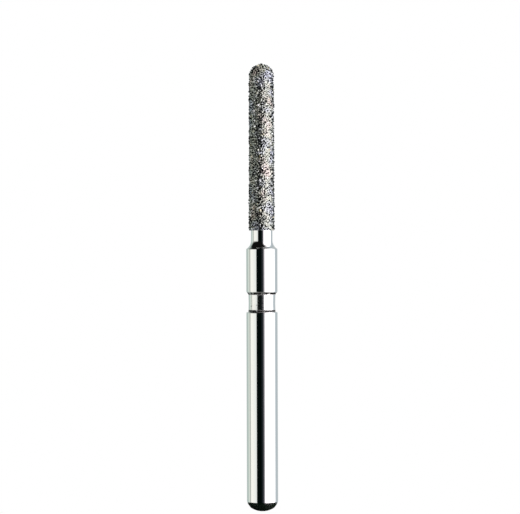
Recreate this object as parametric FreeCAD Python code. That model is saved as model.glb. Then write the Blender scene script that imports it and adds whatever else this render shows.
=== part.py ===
import FreeCAD, Part
import math
import os
import random

# Round-end cylinder diamond bur on a friction-grip shank, in millimetres.
# The bur's axis is Z. The shank's domed end touches Z = 0 and the cutting tip points up.

# The blank: one piece of stainless steel, turned and polished.
shank_diameter = 1.60  # gripped by the handpiece's chuck
shank_length = 10.20  # domed end included
end_dome_radius = 1.07  # the shank's end is a shallow dome inside a chamfer
end_chamfer_width = 0.18
end_chamfer_height = 0.255
end_edge_radius = 0.30  # where the chamfer meets the shank
shank_shoulder_radius = 0.04  # edge where the shank meets the groove
groove_depth = 0.12  # from the shank's surface to the groove's narrowest place
groove_waist = 0.012  # how much less deep the groove is at its ends than at its middle
groove_waist_radius = 2.0
groove_width = 1.05  # from the shank to the collar's full diameter
groove_lower_corner_radius = 0.08
groove_upper_corner_radius = 0.15
groove_chamfer_height = 0.13  # slope from the groove up to the collar
collar_length = 2.185
collar_lower_edge_radius = 0.04
collar_upper_edge_radius = 0.04
neck_cone_height = 0.20  # slope from the collar to the neck
neck_length = 0.745  # bare steel between the cone and the grit
neck_diameter = 1.10
neck_fillet_radius = 0.45  # the neck runs into the cone in a wide curve

# The head: the neck carries on as a core, with a crust of diamond grains in nickel plating on it.
head_length = 8.58
core_taper = 0.05  # how much narrower the core is at its round end than at the neck
crust_thickness = 0.14  # from the core to the tops of the tallest grains
grain_size = 0.110  # medium grit, and the pitch of the net of points that the crust is made on
grain_share = 0.42  # of those points, tops of grains; the others lie on the plating between them
grain_exposure = 0.060  # how far the tallest grains stand out of the plating
grain_shortfall = 0.45  # the shortest grain ends this share of the exposure below the tallest
plating_unevenness = 0.25  # the plating's surface rises and falls by this share of the exposure
grain_scatter = 0.30  # how far a point strays from its place in the net, as a share of the pitch
grain_seed = 11
bore_sectors = 16  # the crust's bore is made of this many equal strips round the core

shank_radius = shank_diameter / 2
end_dome_edge_radius = shank_radius - end_chamfer_width
end_dome_height = end_dome_radius - math.sqrt(end_dome_radius**2 - end_dome_edge_radius**2)
groove_radius = shank_radius - groove_depth
neck_radius = neck_diameter / 2
collar_base_z = shank_length + groove_width
collar_top_z = collar_base_z + collar_length
neck_base_z = collar_top_z + neck_cone_height
head_base_z = neck_base_z + neck_length
overall_length = head_base_z + head_length
core_end_radius = neck_radius - core_taper / 2
head_end_radius = core_end_radius + crust_thickness
head_end_centre_z = overall_length - head_end_radius
head_side_length = head_end_centre_z - head_base_z
head_outline_length = head_side_length + head_end_radius * math.pi / 2


def on_axis_plane(radius, z):
    """A point of the half section that is turned about Z."""
    return FreeCAD.Vector(radius, 0, z)


def turned(edges, angle=360):
    """The solid that a closed half section sweeps as it turns about Z."""
    section = Part.Face(Part.Wire([edge.toShape() for edge in edges]))
    return section.revolve(FreeCAD.Vector(0, 0, 0), FreeCAD.Vector(0, 0, 1), angle)


def domed_end():
    """The arc of the shank's end, from the axis to the chamfer round it."""
    half_angle = math.asin(end_dome_edge_radius / end_dome_radius)
    middle_angle = half_angle / 2
    return Part.Arc(
        on_axis_plane(0, 0),
        on_axis_plane(
            end_dome_radius * math.sin(middle_angle),
            end_dome_radius * (1 - math.cos(middle_angle)),
        ),
        on_axis_plane(end_dome_edge_radius, end_dome_height),
    )


def rounded_line(start, corners):
    """Straight runs from the start through corners of (radius, z, edge radius), joined by tangent arcs."""
    points = [start] + [on_axis_plane(radius, z) for radius, z, _ in corners]
    edges = []
    here = start
    for index, (_, _, edge_radius) in enumerate(corners, start=1):
        corner = points[index]
        if edge_radius == 0:
            edges.append(Part.LineSegment(here, corner))
            here = corner
            continue
        back = (points[index - 1] - corner).normalize()
        ahead = (points[index + 1] - corner).normalize()
        half_angle = back.getAngle(ahead) / 2
        setback = edge_radius / math.tan(half_angle)
        inward = (back + ahead).normalize()
        centre = corner + inward * (edge_radius / math.sin(half_angle))
        edges.append(Part.LineSegment(here, corner + back * setback))
        here = corner + ahead * setback
        edges.append(
            Part.Arc(corner + back * setback, centre - inward * edge_radius, here)
        )
    return edges


def core_end():
    """The core's outline over its round end, from its side to the axis."""
    middle = math.pi / 4
    return Part.Arc(
        on_axis_plane(core_end_radius, head_end_centre_z),
        on_axis_plane(
            core_end_radius * math.cos(middle),
            head_end_centre_z + core_end_radius * math.sin(middle),
        ),
        on_axis_plane(0, head_end_centre_z + core_end_radius),
    )


def steel_blank():
    """Shank, groove, collar, neck and the head's core, turned from one rod."""
    end = domed_end()
    groove_top_z = collar_base_z - groove_chamfer_height
    groove_end_radius = groove_radius + groove_waist
    corners = [
        (shank_radius, end_dome_height + end_chamfer_height, end_edge_radius),
        (shank_radius, shank_length, shank_shoulder_radius),
        (groove_end_radius, shank_length, groove_lower_corner_radius),
        (groove_radius, (shank_length + groove_top_z) / 2, groove_waist_radius),
        (groove_end_radius, groove_top_z, groove_upper_corner_radius),
        (shank_radius, collar_base_z, collar_lower_edge_radius),
        (shank_radius, collar_top_z, collar_upper_edge_radius),
        (neck_radius, neck_base_z, neck_fillet_radius),
        (neck_radius, head_base_z, 0),
        (core_end_radius, head_end_centre_z, 0),
    ]
    side = rounded_line(end.EndPoint, corners)
    over = core_end()
    axis = Part.LineSegment(over.EndPoint, end.StartPoint)
    return turned([end] + side + [over, axis])


def core_sectors():
    """The end of the blank that the crust is plated on, in equal sectors about the axis."""
    foot = on_axis_plane(0, head_base_z)
    corners = [(neck_radius, head_base_z, 0), (core_end_radius, head_end_centre_z, 0)]
    over = core_end()
    axis = Part.LineSegment(over.EndPoint, foot)
    angle = 360 / bore_sectors
    sector = turned(rounded_line(foot, corners) + [over, axis], angle)
    origin, up = FreeCAD.Vector(0, 0, 0), FreeCAD.Vector(0, 0, 1)
    return [sector.rotated(origin, up, angle * index) for index in range(bore_sectors)]


def grit_depth(chance):
    """How far a point of the crust lies below the tallest grains."""
    if chance.random() < grain_share:
        return grain_exposure * grain_shortfall * chance.random()
    return grain_exposure * (1 - plating_unevenness * chance.random())


def crust_ring(row, row_count, chance):
    """Angles and places of one ring of the net; the first ring is flat and is the crust's foot."""
    along = head_outline_length * row / row_count
    tilt = max(along - head_side_length, 0) / head_end_radius
    narrowing = core_taper / 2 * min(along / head_side_length, 1)
    surface_radius = neck_radius + crust_thickness - narrowing
    count = max(3, round(2 * math.pi * surface_radius * math.cos(tilt) / grain_size))
    ring = []
    for index in range(count):
        depth = grit_depth(chance)
        stray_up = grain_scatter * chance.uniform(-1, 1) * grain_size if row else 0
        stray_round = grain_scatter * chance.uniform(-1, 1)
        turn = 2 * math.pi * (index + row % 2 / 2 + stray_round) / count
        radius = (surface_radius - depth) * math.cos(tilt) - stray_up * math.sin(tilt)
        if tilt:
            rise = (surface_radius - depth) * math.sin(tilt) + stray_up * math.cos(tilt)
            z = head_end_centre_z + rise
        else:
            z = head_base_z + along + stray_up
        place = FreeCAD.Vector(radius * math.cos(turn), radius * math.sin(turn), z)
        ring.append((turn, place))
    return ring


def band(lower, upper):
    """Triangles between two rings, taking the next point of whichever ring turns less."""
    triangles = []
    low, high = 0, 0

    def point(ring, index):
        turn, place = ring[index % len(ring)]
        return turn + 2 * math.pi * (index // len(ring)), place

    while low < len(lower) or high < len(upper):
        here, there = point(lower, low)[1], point(upper, high)[1]
        next_low, next_high = point(lower, low + 1), point(upper, high + 1)
        lower_moves = next_low[0] < next_high[0] if low < len(lower) else False
        if lower_moves or high == len(upper):
            triangles.append((here, next_low[1], there))
            low += 1
        else:
            triangles.append((here, next_high[1], there))
            high += 1
    return triangles


def fan(ring, apex):
    """Triangles from a ring to a point on the axis, which close an end of the net."""
    places = [place for _, place in ring]
    return [(here, after, apex) for here, after in zip(places, places[1:] + places[:1])]


def diamond_crust():
    """Diamond grains in their plating: a faceted skin round the head, hollow over the core."""
    chance = random.Random(grain_seed)
    row_pitch = grain_size * math.sqrt(3) / 2  # the net's triangles are equal before they stray
    row_count = round(head_outline_length / row_pitch)
    rings = [crust_ring(row, row_count, chance) for row in range(row_count)]
    triangles = fan(rings[0], on_axis_plane(0, head_base_z))
    for lower, upper in zip(rings, rings[1:]):
        triangles += band(lower, upper)
    triangles += fan(rings[-1], on_axis_plane(0, overall_length))
    faces = [Part.Face(Part.makePolygon([a, b, c, a])) for a, b, c in triangles]
    skin = Part.Solid(Part.makeShell(faces))
    return skin.cut(core_sectors()).Solids[0]


os.makedirs("parts", exist_ok=True)
for name, shape in (("steel_blank", steel_blank()), ("diamond_crust", diamond_crust())):
    print(name, shape.ShapeType, len(shape.Solids), len(shape.Faces), shape.isValid(), shape.Volume)
    shape.exportStep(f"parts/{name}.step")
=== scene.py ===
import math
import random

import bmesh
import bpy
from mathutils import Matrix, Vector, kdtree, noise


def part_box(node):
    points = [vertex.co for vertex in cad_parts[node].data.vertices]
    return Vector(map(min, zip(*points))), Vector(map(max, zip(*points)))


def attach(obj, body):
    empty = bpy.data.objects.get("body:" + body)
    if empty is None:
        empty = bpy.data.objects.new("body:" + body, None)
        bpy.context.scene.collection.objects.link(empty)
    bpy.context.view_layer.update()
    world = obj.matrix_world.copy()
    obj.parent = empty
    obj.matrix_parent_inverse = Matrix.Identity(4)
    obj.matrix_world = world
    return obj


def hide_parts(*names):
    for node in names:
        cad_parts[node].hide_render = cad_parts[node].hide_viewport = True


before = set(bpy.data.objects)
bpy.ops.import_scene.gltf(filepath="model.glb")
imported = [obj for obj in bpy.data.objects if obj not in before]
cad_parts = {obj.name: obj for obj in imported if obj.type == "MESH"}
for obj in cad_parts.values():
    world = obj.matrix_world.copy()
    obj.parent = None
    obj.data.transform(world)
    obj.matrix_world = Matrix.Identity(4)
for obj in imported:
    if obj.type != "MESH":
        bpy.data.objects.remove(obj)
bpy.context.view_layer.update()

mm = 0.001  # sizes in the dictionaries are millimetres unless they say otherwise
blankLow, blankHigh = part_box("steel_blank")
crustLow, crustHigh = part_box("diamond_crust")
shankRadius = blankHigh.x / mm
headBase = crustLow.z / mm
tipTop = crustHigh.z / mm
print("frame loaded, bur length", round(tipTop, 2), "mm")


# shared helpers


def linearColour(hexCode):  # sRGB hex to the linear RGBA that the sockets take
    values = [int(hexCode[i : i + 2], 16) / 255 for i in (1, 3, 5)]
    linear = [v / 12.92 if v <= 0.04045 else ((v + 0.055) / 1.055) ** 2.4 for v in values]
    return (*linear, 1)


def setStops(ramp, stops):  # places along a colour ramp, with the colour at each
    while len(ramp.elements) < len(stops):
        ramp.elements.new(0.5)
    for element, (place, colour) in zip(ramp.elements, stops):
        element.position = place
        element.color = colour


def addNode(tree, kind, settings=None, links=None):
    node = tree.nodes.new(kind)
    for name, value in (settings or {}).items():
        if name == "stops":
            setStops(node.color_ramp, value)
        elif isinstance(name, str) and hasattr(node, name):
            setattr(node, name, value)
        else:
            node.inputs[name].default_value = value
    for name, source in (links or {}).items():
        tree.links.new(source, node.inputs[name])
    return node


def newMaterial(name):
    material = bpy.data.materials.new(name)
    material.use_nodes = True
    material.node_tree.nodes.clear()
    return material, material.node_tree


def finishMaterial(tree, shader):
    addNode(tree, "ShaderNodeOutputMaterial", {}, {"Surface": shader})


def outlineVert(mesh, radius, height):
    return mesh.verts.new((radius * mm, 0, height * mm))


def sweepArc(mesh, vert, centre, degrees, steps):  # turns a vertex about Y, from X towards Z
    made = bmesh.ops.spin(
        mesh,
        geom=[vert],
        cent=(centre[0] * mm, 0, centre[1] * mm),
        axis=(0, 1, 0),
        angle=math.radians(-degrees),
        steps=steps,
    )
    return made["geom_last"][0]


def roundCorner(mesh, vert, radius, steps):
    ends = [edge.other_vert(vert).co - vert.co for edge in vert.link_edges]
    turn = math.pi - ends[0].angle(ends[1])
    bmesh.ops.bevel(
        mesh,
        geom=[vert],
        offset=radius * mm * math.tan(turn / 2),
        offset_type="OFFSET",
        segments=steps,
        profile=0.5,
        affect="VERTICES",
        material=-1,
    )


def holdLongEdges(mesh, hold, pitch):  # a cut near each end keeps a straight run's shading straight
    shortest = 4 * hold * mm  # shorter runs stay whole
    for edge in [e for e in mesh.edges if e.calc_length() > shortest]:
        start, end = edge.verts
        _, middle = bmesh.utils.edge_split(edge, start, hold * mm / edge.calc_length())
        rest = next(e for e in middle.link_edges if end in e.verts)
        bmesh.utils.edge_split(rest, end, hold * mm / rest.calc_length())
    longest = 1.5 * pitch * mm  # longer runs are cut into pieces
    for edge in [e for e in mesh.edges if e.calc_length() > longest]:
        cuts = int(edge.calc_length() / (pitch * mm))
        bmesh.ops.subdivide_edges(mesh, edges=[edge], cuts=cuts)


def spinOutline(mesh, steps):
    bmesh.ops.spin(
        mesh,
        geom=mesh.verts[:] + mesh.edges[:],
        cent=(0, 0, 0),
        axis=(0, 0, 1),
        angle=2 * math.pi,
        steps=steps,
        use_merge=True,
    )
    bmesh.ops.remove_doubles(mesh, verts=mesh.verts, dist=0.00001 * mm)
    bmesh.ops.recalc_face_normals(mesh, faces=mesh.faces)


def makePiece(name, mesh, material, node, smooth=True):
    data = bpy.data.meshes.new(name)
    mesh.to_mesh(data)
    mesh.free()
    data.polygons.foreach_set("use_smooth", [smooth] * len(data.polygons))
    data.materials.append(material)
    piece = bpy.data.objects.new(name, data)
    bpy.context.scene.collection.objects.link(piece)
    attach(piece, "root")
    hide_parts(node)
    return piece


# polished steel blank

blank = {
    "shankLength": 10.20,  # domed end included
    "domeRadius": 1.07,  # a shallow dome inside a chamfer
    "domeRim": 0.04,  # rounding where the dome meets the chamfer
    "chamferWidth": 0.18,
    "chamferHeight": 0.255,
    "chamferEdge": 0.30,
    "shankShoulder": 0.04,
    "grooveDepth": 0.12,  # at its narrowest
    "grooveWaist": 0.012,  # how much less deep its ends are
    "grooveWaistRadius": 2.0,
    "grooveWidth": 1.05,  # up to the collar's full diameter
    "grooveLowerCorner": 0.08,
    "grooveUpperCorner": 0.15,
    "grooveChamfer": 0.13,
    "collarLength": 2.185,
    "collarLowerEdge": 0.04,
    "collarUpperEdge": 0.04,
    "coneHeight": 0.20,
    "neckRadius": 0.55,
    "neckFillet": 0.45,  # the neck runs into the cone in a wide curve
    "coreTaper": 0.05,  # on the diameter, from the neck to the core's round end
    "crustThickness": 0.14,
    "domeSteps": 18,
    "roundingSteps": 8,
    "coreEndSteps": 12,
    "holdLength": 0.012,  # from a rounding to the cut that holds the shading
    "runLength": 0.25,  # straight runs are cut into pieces of about this length
    "aroundSteps": 160,
}

coreEnd = blank["neckRadius"] - blank["coreTaper"] / 2
endCentre = tipTop - coreEnd - blank["crustThickness"]
sideLength = endCentre - headBase


def steelOutline(mesh):
    s = blank
    domeReach = math.asin((shankRadius - s["chamferWidth"]) / s["domeRadius"])
    chamferTop = s["domeRadius"] * (1 - math.cos(domeReach)) + s["chamferHeight"]
    pole = outlineVert(mesh, 0, 0)
    domeCentre = (0, s["domeRadius"])
    rim = sweepArc(mesh, pole, domeCentre, math.degrees(domeReach), s["domeSteps"])
    grooveRadius = shankRadius - s["grooveDepth"]
    grooveEnd = grooveRadius + s["grooveWaist"]
    collarBase = s["shankLength"] + s["grooveWidth"]
    grooveTop = collarBase - s["grooveChamfer"]
    collarTop = collarBase + s["collarLength"]
    coneTop = collarTop + s["coneHeight"]
    corners = [  # radius, height, rounding
        (shankRadius, chamferTop, s["chamferEdge"]),
        (shankRadius, s["shankLength"], s["shankShoulder"]),
        (grooveEnd, s["shankLength"], s["grooveLowerCorner"]),
        (grooveRadius, (s["shankLength"] + grooveTop) / 2, s["grooveWaistRadius"]),
        (grooveEnd, grooveTop, s["grooveUpperCorner"]),
        (shankRadius, collarBase, s["collarLowerEdge"]),
        (shankRadius, collarTop, s["collarUpperEdge"]),
        (s["neckRadius"], coneTop, s["neckFillet"]),
        (s["neckRadius"], headBase, 0),
        (coreEnd, endCentre, 0),
    ]
    placed = [rim]
    for radius, height, _ in corners:
        vert = outlineVert(mesh, radius, height)
        mesh.edges.new((placed[-1], vert))
        placed.append(vert)
    sweepArc(mesh, placed[-1], (0, endCentre), 90, s["coreEndSteps"])
    roundings = [s["domeRim"]] + [rounding for _, _, rounding in corners]
    for vert, rounding in zip(placed, roundings):
        if rounding:
            roundCorner(mesh, vert, rounding, s["roundingSteps"])
    holdLongEdges(mesh, s["holdLength"], s["runLength"])


steelFinish = {
    "colour": "#CFCDC8",  # stainless steel
    "roughness": 0.07,
    "smearScale": 900,  # per metre, so that smears of handling are about 1 mm long
    "smearShares": (0.7, 1.4),  # of the roughness, least and most
    "lineSpacing": 0.07,  # turning lines, drawn coarser than the real 0.01 so that they show
    "lineDepth": 0.00012,
    "linesAcross": 60,  # the lines' noise, per metre across the axis: so little that they run round
    "groove": (10.21, 11.11),  # heights of the bur where the turned groove lies
    "grooveSoft": 0.01,
    "grooveRoughness": 0.16,
    "ringSpacing": 0.05,
    "ringDepth": 0.0009,
    "pitSpacing": 0.26,
    "pitRadius": 0.030,
    "pitEdge": (0.6, 1.2),  # shares of the radius where a pit is deepest and where it ends
    "pitDepth": 0.006,
    "dome": 0.40,  # height up to which the end is ground
    "domeSoft": 0.06,
    "domeRoughness": 0.14,
    "grindSize": 0.13,
    "grindDepth": 0.018,
    "residueColour": "#0C0A08",
    "residueRoughness": 0.5,
    "residueBands": [(10.235, 10.30), (11.12, 11.20)],  # heights at the groove's two ends
    "residueSoft": 0.035,
    "residuePatch": 0.16,  # size of its patches and gaps
    "residueStops": (0.30, 0.46),  # values of the patches' noise where it begins and is full
}


def zoneMask(tree, height, low, high, soft):  # 1 between two heights on the bur, with soft ends
    ends = [
        addNode(
            tree,
            "ShaderNodeMapRange",
            {"From Min": outside * mm, "From Max": inside * mm},
            {"Value": height},
        ).outputs[0]
        for outside, inside in ((low - soft, low), (high + soft, high))
    ]
    both = addNode(tree, "ShaderNodeMath", {"operation": "MINIMUM"}, {0: ends[0], 1: ends[1]})
    return both.outputs[0]


def turningLines(tree, place, spacing):  # noise drawn out round the bur's axis
    across = steelFinish["linesAcross"]
    stretched = addNode(
        tree,
        "ShaderNodeMapping",
        {"Scale": (across, across, 1 / (spacing * mm))},
        {"Vector": place},
    )
    lines = addNode(
        tree,
        "ShaderNodeTexNoise",
        {"Scale": 1, "Detail": 3, "Roughness": 0.6},
        {"Vector": stretched.outputs[0]},
    )
    return lines.outputs["Fac"]


def polishedStainlessSteel():  # turned, then mirror polished: sharp strips of light, faint lines
    f = steelFinish
    material, tree = newMaterial("polishedStainlessSteel")
    place = addNode(tree, "ShaderNodeTexCoord").outputs["Object"]
    height = addNode(tree, "ShaderNodeSeparateXYZ", {}, {"Vector": place}).outputs["Z"]
    inGroove = zoneMask(tree, height, *f["groove"], f["grooveSoft"])
    onDome = zoneMask(tree, height, -1, f["dome"], f["domeSoft"])

    pitCells = addNode(
        tree, "ShaderNodeTexVoronoi", {"Scale": 1 / (f["pitSpacing"] * mm)}, {"Vector": place}
    )
    pitShare = f["pitRadius"] / f["pitSpacing"]
    deepest, outermost = f["pitEdge"]
    pit = addNode(
        tree,
        "ShaderNodeValToRGB",
        {"stops": [(pitShare * deepest, (1, 1, 1, 1)), (pitShare * outermost, (0, 0, 0, 1))]},
        {"Fac": pitCells.outputs["Distance"]},
    )
    pitInGroove = addNode(
        tree, "ShaderNodeMath", {"operation": "MULTIPLY"}, {0: pit.outputs["Color"], 1: inGroove}
    )
    pitHole = addNode(
        tree, "ShaderNodeMath", {"operation": "SUBTRACT", 0: 1.0}, {1: pitInGroove.outputs[0]}
    )
    rings = addNode(
        tree,
        "ShaderNodeMath",
        {"operation": "MULTIPLY"},
        {0: turningLines(tree, place, f["ringSpacing"]), 1: inGroove},
    )
    grind = addNode(
        tree,
        "ShaderNodeTexNoise",
        {"Scale": 1 / (f["grindSize"] * mm), "Detail": 2.5, "Roughness": 0.55},
        {"Vector": place},
    )
    grindOnDome = addNode(
        tree, "ShaderNodeMath", {"operation": "MULTIPLY"}, {0: grind.outputs["Fac"], 1: onDome}
    )
    reliefs = [
        (turningLines(tree, place, f["lineSpacing"]), f["lineDepth"]),
        (rings.outputs[0], f["ringDepth"]),
        (pitHole.outputs[0], f["pitDepth"]),
        (grindOnDome.outputs[0], f["grindDepth"]),
    ]
    normal = {}
    for relief, depth in reliefs:  # each bump goes on top of the one before
        bump = addNode(
            tree,
            "ShaderNodeBump",
            {"Strength": 1, "Distance": depth * mm},
            {"Height": relief, **normal},
        )
        normal = {"Normal": bump.outputs[0]}

    bands = [zoneMask(tree, height, low, high, f["residueSoft"]) for low, high in f["residueBands"]]
    inBands = addNode(tree, "ShaderNodeMath", {"operation": "MAXIMUM"}, {0: bands[0], 1: bands[1]})
    patches = addNode(
        tree,
        "ShaderNodeTexNoise",
        {"Scale": 1 / (f["residuePatch"] * mm), "Detail": 3, "Roughness": 0.6},
        {"Vector": place},
    )
    bare, covered = f["residueStops"]
    patchMask = addNode(
        tree,
        "ShaderNodeValToRGB",
        {"stops": [(bare, (0, 0, 0, 1)), (covered, (1, 1, 1, 1))]},
        {"Fac": patches.outputs["Fac"]},
    )
    bandResidue = addNode(
        tree,
        "ShaderNodeMath",
        {"operation": "MULTIPLY"},
        {0: inBands.outputs[0], 1: patchMask.outputs["Color"]},
    )
    residue = addNode(
        tree,
        "ShaderNodeMath",
        {"operation": "MAXIMUM"},
        {0: bandResidue.outputs[0], 1: pitInGroove.outputs[0]},
    ).outputs[0]
    colour = addNode(
        tree,
        "ShaderNodeMix",
        {"data_type": "RGBA", 6: linearColour(f["colour"]), 7: linearColour(f["residueColour"])},
        {0: residue},
    )
    metallic = addNode(tree, "ShaderNodeMath", {"operation": "SUBTRACT", 0: 1.0}, {1: residue})
    gloss = addNode(  # the residue has none
        tree, "ShaderNodeMath", {"operation": "MULTIPLY", 1: 0.5}, {0: metallic.outputs[0]}
    )

    smear = addNode(
        tree, "ShaderNodeTexNoise", {"Scale": f["smearScale"], "Detail": 2}, {"Vector": place}
    )
    least, most = [share * f["roughness"] for share in f["smearShares"]]
    smeared = addNode(  # from the noise's usual values to the roughness
        tree,
        "ShaderNodeMapRange",
        {"From Min": 0.3, "From Max": 0.7, "To Min": least, "To Max": most},
        {"Value": smear.outputs["Fac"]},
    )
    roughness = smeared.outputs[0]
    zones = [
        (inGroove, f["grooveRoughness"]),
        (onDome, f["domeRoughness"]),
        (residue, f["residueRoughness"]),
    ]
    for zone, value in zones:
        roughness = addNode(
            tree, "ShaderNodeMix", {"data_type": "FLOAT", 3: value}, {0: zone, 2: roughness}
        ).outputs[0]
    shader = addNode(
        tree,
        "ShaderNodeBsdfPrincipled",
        {},
        {
            "Base Color": colour.outputs[2],
            "Metallic": metallic.outputs[0],
            "Specular IOR Level": gloss.outputs[0],
            "Roughness": roughness,
            **normal,
        },
    )
    finishMaterial(tree, shader.outputs[0])
    return material


def makeSteelBlank():
    mesh = bmesh.new()
    steelOutline(mesh)
    spinOutline(mesh, blank["aroundSteps"])
    return makePiece("steelBlank", mesh, polishedStainlessSteel(), "steel_blank")


steelBlank = makeSteelBlank()
print("steel blank spun,", len(steelBlank.data.polygons), "faces")


# diamond grains, half sunk in the plating

grit = {
    "size": 0.112,  # medium grit, across its corners
    "sizeSpread": 0.4,  # share of the size
    "closest": 0.85,  # least distance between two grains' centres, as a share of their mean size
    "sink": 0.004,  # how far a grain's centre lies under the tops of the plating
    "sinkSpread": 0.022,  # either way
    "footGap": 0.4,  # least distance from the head's foot, as a share of a grain's size
    "crystals": 8,  # different shapes
    "cutCorners": 6,  # of a crystal's eight
    "cut": (0.18, 0.42),  # least and most, with the cube's edge as 1, as in the next two
    "stretch": (0.8, 1.15),
    "dent": 0.07,
    "shade": (0.6, 1.4),  # darkest and lightest, as a share of the tint
    "tries": 60000,
    "seed": 7,
    "tints": [  # share, sRGB, how much its facets glint
        # the near-black tint is painted shade: clear diamond painted as dark as the shaded plating
        # it looks down into
        (0.80, "#020202", 0.02),
        (0.05, "#36371E", 0.4),
        (0.03, "#8A7C4C", 0.5),
        (0.09, "#E8E6E2", 1.0),
        (0.03, "#77775C", 0.6),
    ],
}
plating = {
    "thickness": 0.060,  # over the core, between the grains
    "climb": 0.020,  # how far it creeps up a grain's side
    "climbWidth": 0.020,
    "waves": 0.030,
    "waveSize": 0.06,
    "aroundSteps": 210,
    "rowPitch": 0.0215,
    "boreSteps": 16,
    "boreShare": 0.4,  # of the thickness, from the core: anything deeper is the bore, left even
}


def onHead(along, turn, depth):  # a place that far over the core
    narrowing = blank["coreTaper"] / 2 * min(along / sideLength, 1)
    radius = blank["neckRadius"] - narrowing + depth
    tilt = max(along - sideLength, 0) / (coreEnd + blank["crustThickness"])
    out = Vector((math.cos(turn) * math.cos(tilt), math.sin(turn) * math.cos(tilt), math.sin(tilt)))
    centre = Vector((0, 0, headBase + min(along, sideLength)))
    return centre + out * radius


def scatterGrains():
    chance = random.Random(grit["seed"])
    endRadius = coreEnd + blank["crustThickness"]
    length = sideLength + endRadius * math.pi / 2
    cell = grit["size"] * (1 + grit["sizeSpread"])
    taken = {}
    grains = []
    for _ in range(grit["tries"]):
        size = grit["size"] * (1 + grit["sizeSpread"] * chance.uniform(-1, 1))
        along = chance.uniform(grit["footGap"] * size, length)
        turn = chance.uniform(0, 2 * math.pi)
        if along > sideLength and chance.random() > math.cos((along - sideLength) / endRadius):
            continue  # rings get shorter towards the tip
        depth = grit["sink"] + grit["sinkSpread"] * chance.uniform(-1, 1)
        centre = onHead(along, turn, plating["thickness"] + plating["climb"] - depth)
        key = tuple(int(c // cell) for c in centre)
        near = [
            other
            for i in (-1, 0, 1)
            for j in (-1, 0, 1)
            for k in (-1, 0, 1)
            for other in taken.get((key[0] + i, key[1] + j, key[2] + k), ())
        ]
        closest = [(spot, grit["closest"] * (size + width) / 2) for spot, width in near]
        if all((centre - spot).length > gap for spot, gap in closest):
            taken.setdefault(key, []).append((centre, size))
            grains.append((centre, size))
    return grains


def crystalShapes():  # cubes with most of their corners cut off, as grown diamond grains are
    shapes = []
    chance = random.Random(grit["seed"] + 1)
    for _ in range(grit["crystals"]):
        mesh = bmesh.new()
        bmesh.ops.create_cube(mesh, size=1)
        cut = chance.uniform(*grit["cut"])
        bmesh.ops.bevel(
            mesh,
            geom=chance.sample(mesh.verts[:], grit["cutCorners"]),
            offset=cut,
            offset_type="OFFSET",
            segments=1,
            profile=0.5,
            affect="VERTICES",
            material=-1,
        )
        stretch = Vector([chance.uniform(*grit["stretch"]) for _ in range(3)])
        bmesh.ops.scale(mesh, vec=stretch, verts=mesh.verts)
        dent = grit["dent"]
        for vert in mesh.verts:
            vert.co += Vector([chance.uniform(-dent, dent) for _ in range(3)])
        hull = bmesh.ops.convex_hull(mesh, input=mesh.verts)
        spare = [item for item in hull["geom_interior"] if isinstance(item, bmesh.types.BMVert)]
        bmesh.ops.delete(mesh, geom=spare, context="VERTS")
        widest = max(vert.co.length for vert in mesh.verts)
        bmesh.ops.scale(mesh, vec=(0.5 / widest,) * 3, verts=mesh.verts)
        mesh.normal_update()
        data = bpy.data.meshes.new("crystalShape")
        mesh.to_mesh(data)
        mesh.free()
        shapes.append(data)
    return shapes


gritFinish = {
    "roughness": 0.05,
    "ior": 2.42,  # diamond
}


def diamondGrit():  # grown diamond with bright facets; most grains are painted near black, painted shade that stands for the dark plating seen through the clear crystal
    f = gritFinish
    material, tree = newMaterial("diamondGrit")
    tint = addNode(tree, "ShaderNodeAttribute", {"attribute_name": "grainTint"})
    shader = addNode(
        tree,
        "ShaderNodeBsdfPrincipled",
        {"Roughness": f["roughness"], "IOR": f["ior"]},
        {"Base Color": tint.outputs["Color"], "Specular IOR Level": tint.outputs["Alpha"]},
    )
    finishMaterial(tree, shader.outputs[0])
    return material


def pickToneAndShade(chance):
    pick = chance.random()
    for share, hexCode, glint in grit["tints"]:
        pick -= share
        if pick <= 0:
            break
    colour = linearColour(hexCode)
    light = chance.uniform(*grit["shade"])
    return [c * light for c in colour[:3]] + [glint]


def makeGrains(grains):
    chance = random.Random(grit["seed"] + 2)
    shapes = crystalShapes()
    mesh = bmesh.new()
    for centre, size in grains:
        angle = chance.uniform(0, 2 * math.pi)
        axis = Vector([chance.uniform(-1, 1) for _ in range(3)]).normalized()
        turn = Matrix.Rotation(angle, 4, axis)
        shape = chance.choice(shapes).copy()
        shape.transform(Matrix.Translation(centre * mm) @ turn @ Matrix.Scale(size * mm, 4))
        # the grain's tone, or painted shade for the near-black ones, with how much it glints as
        # alpha
        tint = shape.color_attributes.new("grainTint", "FLOAT_COLOR", "POINT")
        tint.data.foreach_set("color", pickToneAndShade(chance) * len(shape.vertices))
        mesh.from_mesh(shape)
        bpy.data.meshes.remove(shape)
    for shape in shapes:
        bpy.data.meshes.remove(shape)
    material = diamondGrit()
    return makePiece("diamondGrains", mesh, material, "diamond_crust", smooth=False)


# nickel plating that holds the grains


def platingOutline(mesh):
    boreEnd = outlineVert(mesh, 0, endCentre + coreEnd)
    boreSide = sweepArc(mesh, boreEnd, (0, endCentre), -90, plating["boreSteps"])
    boreFoot = outlineVert(mesh, blank["neckRadius"], headBase)
    mesh.edges.new((boreSide, boreFoot))
    outer = onHead(0, 0, plating["thickness"])
    foot = outlineVert(mesh, outer.x, headBase)
    mesh.edges.new((boreFoot, foot))
    upper = onHead(sideLength, 0, plating["thickness"])
    shoulder = outlineVert(mesh, upper.x, endCentre)
    arcSteps = int(upper.x * math.pi / 2 / plating["rowPitch"])
    sweepArc(mesh, shoulder, (0, endCentre), 90, arcSteps)
    side = mesh.edges.new((foot, shoulder))
    bmesh.ops.subdivide_edges(mesh, edges=[side], cuts=int(sideLength / plating["rowPitch"]))


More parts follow.
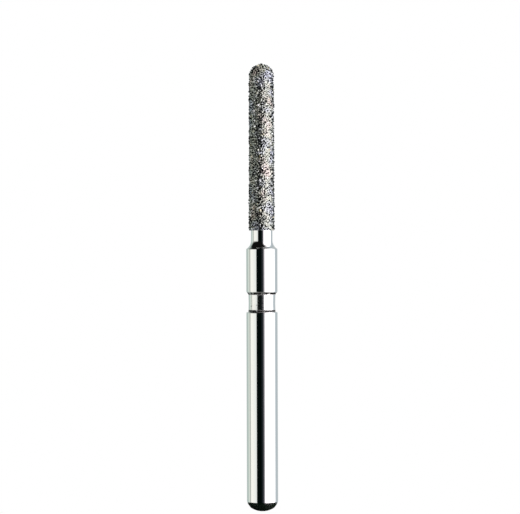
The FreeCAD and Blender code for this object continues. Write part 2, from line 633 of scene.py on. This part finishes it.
def raisePlating(mesh, grains):  # lifts the plating round every grain and makes it uneven
    finder = kdtree.KDTree(len(grains))
    for index, (centre, _) in enumerate(grains):
        finder.insert(centre, index)
    finder.balance()
    innerLimit = blank["neckRadius"] + plating["boreShare"] * plating["thickness"]
    for vert in mesh.verts:
        place = vert.co / mm
        centre = Vector((0, 0, min(place.z, endCentre)))
        out = place - centre
        if out.length < innerLimit:
            continue
        _, nearest, distance = finder.find(place + out.normalized() * plating["climb"])
        gap = max(distance - grains[nearest][1] / 2, 0)
        lift = plating["climb"] * math.exp(-((gap / plating["climbWidth"]) ** 2))
        wave = plating["waves"] * noise.noise(place / plating["waveSize"])
        vert.co += out.normalized() * (lift + wave) * mm


platingFinish = {
    "tints": [(0.35, "#998E87"), (0.50, "#8D8F84"), (0.65, "#8B8D94")],  # nickel, warm to cool
    "tintSize": 0.9,
    "roughness": 0.14,
    "noduleSize": 0.045,
    "noduleDepth": 0.002,
}


def nickelPlating():  # electroplated nickel: bright but not smooth, so it breaks light into a net
    f = platingFinish
    material, tree = newMaterial("nickelPlating")
    place = addNode(tree, "ShaderNodeTexCoord").outputs["Object"]
    tint = addNode(
        tree,
        "ShaderNodeTexNoise",
        {"Scale": 1 / (f["tintSize"] * mm), "Detail": 2},
        {"Vector": place},
    )
    stops = [(value, linearColour(hexCode)) for value, hexCode in f["tints"]]
    colour = addNode(tree, "ShaderNodeValToRGB", {"stops": stops}, {"Fac": tint.outputs["Fac"]})
    nodules = addNode(
        tree,
        "ShaderNodeTexNoise",
        {"Scale": 1 / (f["noduleSize"] * mm), "Detail": 2},
        {"Vector": place},
    )
    bump = addNode(
        tree,
        "ShaderNodeBump",
        {"Strength": 1, "Distance": f["noduleDepth"] * mm},
        {"Height": nodules.outputs["Fac"]},
    )
    shader = addNode(
        tree,
        "ShaderNodeBsdfPrincipled",
        {"Metallic": 1.0, "Roughness": f["roughness"]},
        {"Base Color": colour.outputs["Color"], "Normal": bump.outputs[0]},
    )
    finishMaterial(tree, shader.outputs[0])
    return material


def makePlating(grains):
    mesh = bmesh.new()
    platingOutline(mesh)
    spinOutline(mesh, plating["aroundSteps"])
    raisePlating(mesh, grains)
    return makePiece("nickelPlating", mesh, nickelPlating(), "diamond_crust")


grains = scatterGrains()
print("grains scattered:", len(grains))
diamondGrains = makeGrains(grains)
print("grains made,", len(diamondGrains.data.polygons), "faces")
nickelBond = makePlating(grains)
print("plating made,", len(nickelBond.data.polygons), "faces")


# studio: strips of light and dark round the bur, a light behind its head, one for its tip,
# dark ground, and a white floor that only the camera sees

studio = {
    "peak": 4.0,  # radiance that the strips' shares below are of
    "strips": [  # degrees round the bur from the camera, to its right, with linear colour shares
        (-180, (0.157, 0.168, 0.168)),
        (-147, (0.158, 0.189, 0.185)),
        (-127, (0.172, 0.210, 0.203)),
        (-117, (0.262, 0.290, 0.280)),
        (-108, (0.262, 0.290, 0.280)),
        (-104, (0.165, 0.178, 0.170)),
        (-96, (0.165, 0.178, 0.170)),
        (-93, (0.370, 0.378, 0.372)),
        (-75, (0.366, 0.375, 0.366)),
        (-55, (0.335, 0.350, 0.352)),
        (-42.5, (0.300, 0.318, 0.320)),
        (-40.5, (0.0003, 0.0012, 0.0010)),
        (-8, (0.0003, 0.0010, 0.0009)),
        (0, (0.004, 0.006, 0.007)),
        (9, (0.012, 0.013, 0.017)),
        (14, (0.10, 0.10, 0.11)),
        (21, (0.30, 0.29, 0.32)),
        (28, (0.95, 0.93, 1.0)),
        (99, (0.95, 0.93, 1.0)),
        (105, (0.40, 0.41, 0.44)),
        (114, (0.236, 0.261, 0.285)),
        (128, (0.157, 0.183, 0.206)),
        (150, (0.177, 0.195, 0.208)),
        (180, (0.157, 0.168, 0.168)),
    ],
    "bottom": 48,  # degrees below level where the strips end
    "bottomEdge": 0.11,
    "tops": [  # degrees round the bur and degrees above level where the strips end
        (-180, 45),
        (-147, 38),
        (-130, 28),
        (-110, 17),
        (-90, 10),
        (-10, 9),
        (10, 40),
        (40, 48),
        (75, 58),
        (110, 64),
        (160, 65),
        (180, 45),
    ],
    "topEdge": 0.15,  # softness of that end, as a share of the sphere's radius
    "above": 0.002,  # share of the peak, over the strips
    "backLight": (2.4, 2.5, 2.4),  # above and behind, where it lights the head's rims
    "backLightHeight": 56,  # degrees above level
    "backLightEdge": (12, 8),  # degrees from its middle where it begins and is full
    "tipLight": (-2.5, -4.0, 5.5),  # mm from the tip to a soft light that only the head gets
    "tipLightRadius": 3.5,  # mm
    "tipLightWatts": 0.0003,
    "ground": [  # how far down, as a share of the sphere's radius, and the share of the peak there
        (0.86, (0.095, 0.105, 0.097)),
        (0.94, (0.002, 0.004, 0.003)),
    ],
    "floorRadius": 400,
    "floorHeight": -0.01,
    "darkBaseRadius": 2.0,
    "darkBaseHeight": -0.005,
    "darkBaseColour": (0.003, 0.010, 0.005),  # linear
    "discSteps": 64,
}


def makeWorld():
    world = bpy.data.worlds.new("studioLight")
    world.use_nodes = True
    tree = world.node_tree
    tree.nodes.clear()
    direction = addNode(tree, "ShaderNodeTexCoord").outputs["Generated"]
    parts = addNode(tree, "ShaderNodeSeparateXYZ", {}, {"Vector": direction})
    toCamera = addNode(
        tree, "ShaderNodeMath", {"operation": "MULTIPLY", 1: -1.0}, {0: parts.outputs["Y"]}
    )
    angle = addNode(
        tree,
        "ShaderNodeMath",
        {"operation": "ARCTAN2"},
        {0: parts.outputs["X"], 1: toCamera.outputs[0]},
    )
    around = addNode(
        tree,
        "ShaderNodeMapRange",
        {"From Min": -math.pi, "From Max": math.pi, "To Min": 0.0, "To Max": 1.0},
        {"Value": angle.outputs[0]},
    )
    stops = [((degrees + 180) / 360, (*share, 1)) for degrees, share in studio["strips"]]
    strips = addNode(tree, "ShaderNodeValToRGB", {"stops": stops}, {"Fac": around.outputs[0]})
    stops = []
    for degrees, top in studio["tops"]:
        rise = math.sin(math.radians(top))
        stops.append(((degrees + 180) / 360, (rise, rise, rise, 1)))
    tops = addNode(tree, "ShaderNodeValToRGB", {"stops": stops}, {"Fac": around.outputs[0]})
    over = addNode(
        tree,
        "ShaderNodeMath",
        {"operation": "SUBTRACT"},
        {0: parts.outputs["Z"], 1: tops.outputs["Color"]},
    )
    fromAbove = addNode(
        tree,
        "ShaderNodeMapRange",
        {"From Min": -studio["topEdge"], "From Max": studio["topEdge"]},
        {"Value": over.outputs[0]},
    )
    height = math.radians(studio["backLightHeight"])
    towards = addNode(
        tree,
        "ShaderNodeVectorMath",
        {"operation": "DOT_PRODUCT", 1: (0, math.cos(height), math.sin(height))},
        {0: direction},
    )
    rim, core = [math.cos(math.radians(degrees)) for degrees in studio["backLightEdge"]]
    inBackLight = addNode(
        tree,
        "ShaderNodeMapRange",
        {"From Min": rim, "From Max": core},
        {"Value": towards.outputs["Value"]},
    )
    bottom = math.sin(math.radians(studio["bottom"]))
    fromBelow = addNode(
        tree,
        "ShaderNodeMapRange",
        {"From Min": studio["bottomEdge"] - bottom, "From Max": -studio["bottomEdge"] - bottom},
        {"Value": parts.outputs["Z"]},
    )
    upper = addNode(
        tree,
        "ShaderNodeMix",
        {"data_type": "RGBA", 7: (studio["above"],) * 3 + (1,)},
        {0: fromAbove.outputs[0], 6: strips.outputs["Color"]},
    )
    dome = addNode(
        tree,
        "ShaderNodeMix",
        {"data_type": "RGBA", 7: (*studio["backLight"], 1)},
        {0: inBackLight.outputs[0], 6: upper.outputs[2]},
    )
    down = addNode(
        tree, "ShaderNodeMath", {"operation": "MULTIPLY", 1: -1.0}, {0: parts.outputs["Z"]}
    )
    stops = [(steep, (*share, 1)) for steep, share in studio["ground"]]
    ground = addNode(tree, "ShaderNodeValToRGB", {"stops": stops}, {"Fac": down.outputs[0]})
    light = addNode(
        tree,
        "ShaderNodeMix",
        {"data_type": "RGBA"},
        {0: fromBelow.outputs[0], 6: dome.outputs[2], 7: ground.outputs["Color"]},
    )
    lit = addNode(
        tree, "ShaderNodeBackground", {"Strength": studio["peak"]}, {"Color": light.outputs[2]}
    )
    white = addNode(tree, "ShaderNodeBackground", {"Color": (1, 1, 1, 1), "Strength": 1.0})
    path = addNode(tree, "ShaderNodeLightPath")
    seen = addNode(
        tree,
        "ShaderNodeMixShader",
        {},
        {0: path.outputs["Is Camera Ray"], 1: lit.outputs[0], 2: white.outputs[0]},
    )
    addNode(tree, "ShaderNodeOutputWorld", {}, {"Surface": seen.outputs[0]})
    bpy.context.scene.world = world


def makeTipLight(lit):  # the strips end too low to reach the left of the round end
    data = bpy.data.lights.new("tipLight", "AREA")
    data.shape = "DISK"
    data.size = 2 * studio["tipLightRadius"] * mm
    data.energy = studio["tipLightWatts"]
    light = bpy.data.objects.new("tipLight", data)
    away = Vector(studio["tipLight"])
    light.location = (Vector((0, 0, tipTop)) + away) * mm
    light.rotation_euler = away.to_track_quat("Z", "Y").to_euler()
    light.visible_camera = False
    bpy.context.scene.collection.objects.link(light)
    receivers = bpy.data.collections.new("litByTipLight")
    for piece in lit:
        receivers.objects.link(piece)
    light.light_linking.receiver_collection = receivers


def flatDisc(name, radius, height, material):
    mesh = bmesh.new()
    steps = studio["discSteps"]
    bmesh.ops.create_circle(mesh, cap_ends=True, segments=steps, radius=radius * mm)
    bmesh.ops.translate(mesh, verts=mesh.verts, vec=(0, 0, height * mm))
    data = bpy.data.meshes.new(name)
    mesh.to_mesh(data)
    mesh.free()
    data.materials.append(material)
    disc = bpy.data.objects.new(name, data)
    bpy.context.scene.collection.objects.link(disc)
    return disc


def makeFloor():
    material, tree = newMaterial("whiteFloor")
    glow = addNode(tree, "ShaderNodeEmission", {"Color": (1, 1, 1, 1), "Strength": 1.0})
    finishMaterial(tree, glow.outputs[0])
    floor = flatDisc("floor", studio["floorRadius"], studio["floorHeight"], material)
    floor.visible_glossy = False  # the bur's polish shows the studio, not the floor
    floor.visible_diffuse = False
    floor.visible_shadow = False

    black, tree = newMaterial("blackBase")
    matt = addNode(tree, "ShaderNodeBsdfDiffuse", {"Color": (*studio["darkBaseColour"], 1)})
    finishMaterial(tree, matt.outputs[0])
    base = flatDisc("darkBase", studio["darkBaseRadius"], studio["darkBaseHeight"], black)
    base.visible_camera = False  # only the domed end's reflection shows it
    base.visible_diffuse = False
    base.visible_shadow = False


makeWorld()
makeTipLight([diamondGrains, nickelBond])
makeFloor()
bpy.context.scene.view_settings.view_transform = "Standard"
print("studio set")


# camera at the photograph's place

view = {
    "pixelsPerMm": 19.5,
    "pictureWidth": 520,
    "pictureMiddle": (260, 257),
    "footPixel": 511.03,  # the domed end's lowest point
    "axisPixel": 261.8,  # the bur's axis at the picture's middle row
    "leanDegrees": 0.18,  # the bur's tip leans left by this much
    "lens": 120,
    "sensor": 36,
    "clip": (5, 2000),
}


def makeCamera():
    v = view
    width = v["pictureWidth"] / v["pixelsPerMm"]
    distance = width * v["lens"] / v["sensor"]
    side = (v["pictureMiddle"][0] - v["axisPixel"]) / v["pixelsPerMm"]
    height = (v["footPixel"] - v["pictureMiddle"][1]) / v["pixelsPerMm"]
    data = bpy.data.cameras.new("camera")
    data.lens = v["lens"]
    data.sensor_width = v["sensor"]
    data.clip_start, data.clip_end = [reach * mm for reach in v["clip"]]
    camera = bpy.data.objects.new("camera", data)
    bpy.context.scene.collection.objects.link(camera)
    level = Matrix.Rotation(math.pi / 2, 4, "X")
    roll = Matrix.Rotation(math.radians(-v["leanDegrees"]), 4, "Z")
    camera.matrix_world = Matrix.Translation(Vector((side, -distance, height)) * mm) @ level @ roll
    bpy.context.scene.camera = camera


makeCamera()
print("camera set")
